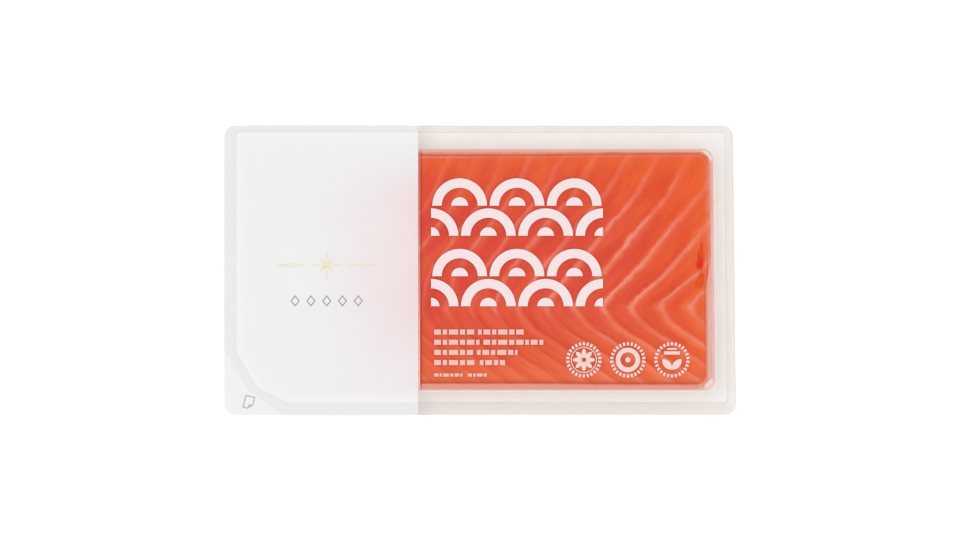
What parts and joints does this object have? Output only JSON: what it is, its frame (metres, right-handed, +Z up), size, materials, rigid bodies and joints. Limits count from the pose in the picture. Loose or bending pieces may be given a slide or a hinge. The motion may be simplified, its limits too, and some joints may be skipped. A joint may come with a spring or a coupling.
{
  "type": "pack of smoked salmon",
  "caption": "Flat sealed retail pack: sliced smoked salmon in a shallow clear tray under a half-printed film welded all round, with one peel corner.",
  "frame": {"origin": "middle of the pack's outline, on the tray's underside", "axes": "+X along the length, away from the peel corner; +Y across, away from the peel corner; +Z up, out of the printed film"},
  "size_m": [0.2299, 0.13, 0.0081],
  "materials": {
    "clear_tray": "clear thermoformed plastic sheet, smooth and glossy, very slightly milky",
    "salmon_flesh": "moist orange-red raw-smoked fish with thin pale fat lines, soft oily sheen",
    "printed_film": "clear lidding film, the left third printed satin white, the rest clear with pale print"
  },
  "bodies": {
    "root": {"tray": "clear_tray", "salmon": "salmon_flesh", "lid_film": "printed_film"}
  },
  "joints": []
}
